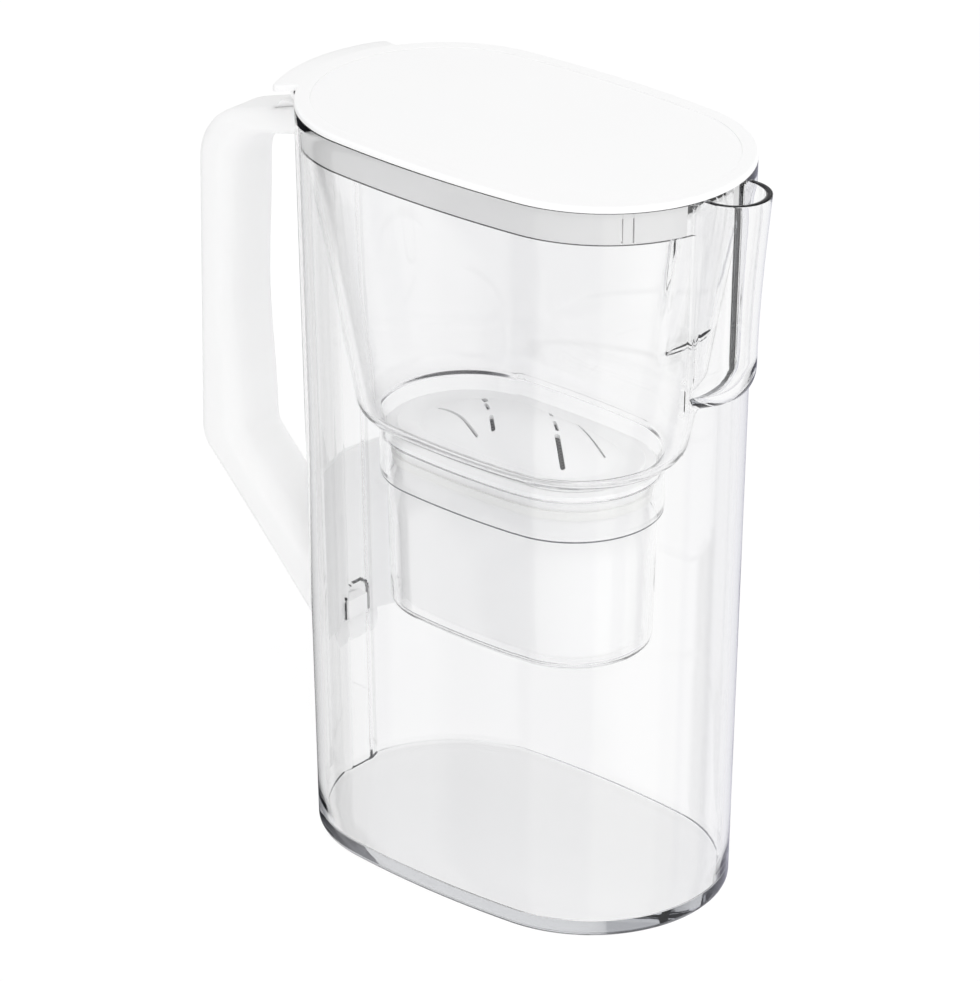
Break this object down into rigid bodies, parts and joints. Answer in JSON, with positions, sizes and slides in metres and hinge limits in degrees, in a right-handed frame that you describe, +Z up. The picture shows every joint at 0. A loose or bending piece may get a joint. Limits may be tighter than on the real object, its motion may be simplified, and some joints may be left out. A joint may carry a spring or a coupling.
{
  "type": "water filter pitcher",
  "caption": "Slim clear oval pitcher with a flip lid, a side handle, a pouring spout and a lift-out funnel that holds an oval filter cartridge.",
  "frame": {"origin": "centre of the jug's flat base, on the surface that it stands on", "axes": "+X towards the spout and away from the handle, +Y from side to side, +Z up"},
  "size_m": [0.2413, 0.103, 0.268],
  "materials": {
    "clear_plastic": "polished clear moulding",
    "white_plastic": "satin white moulding",
    "satin_plastic": "frosted translucent white moulding",
    "cartridge_plastic": "white moulding",
    "pin_steel": "ground pin",
    "seal_rubber": "soft grey seal",
    "mesh_cloth": "fine woven mesh",
    "carbon_granules": "loose black granules",
    "resin_beads": "loose amber beads"
  },
  "bodies": {
    "jug": {"jug_body": "clear_plastic", "handle_shell": "satin_plastic", "handle_inner_cover": "satin_plastic", "handle_foot_plate": "white_plastic", "foot_latch": "white_plastic"},
    "hopper": {"rim_frame": "white_plastic", "hinge_pin": "pin_steel", "hopper_funnel": "clear_plastic", "neck_collar": "clear_plastic", "cartridge_well": "clear_plastic"},
    "lid": {"lid_cover": "white_plastic", "lid_top_panel": "white_plastic"},
    "cartridge": {"cartridge_shell": "cartridge_plastic", "cartridge_seal": "seal_rubber", "cartridge_dome": "cartridge_plastic", "inlet_mesh": "mesh_cloth", "carbon_bed": "carbon_granules", "separator_mesh": "mesh_cloth", "resin_bed": "resin_beads", "outlet_mesh": "mesh_cloth", "outlet_grille": "cartridge_plastic"}
  },
  "joints": [
    {"name": "hopper_lift", "type": "slide", "parent": "jug", "child": "hopper", "axis": [0, 0, 1], "range_m": [0, 0.19]},
    {"name": "lid_flip", "type": "hinge", "parent": "hopper", "child": "lid", "pos_m": [-0.09105, 0, 0.2575], "axis": [0, -1, 0], "range_deg": [0, 95]},
    {"name": "cartridge_lift", "type": "slide", "parent": "hopper", "child": "cartridge", "axis": [0, 0, 1], "range_m": [0, 0.09]}
  ]
}
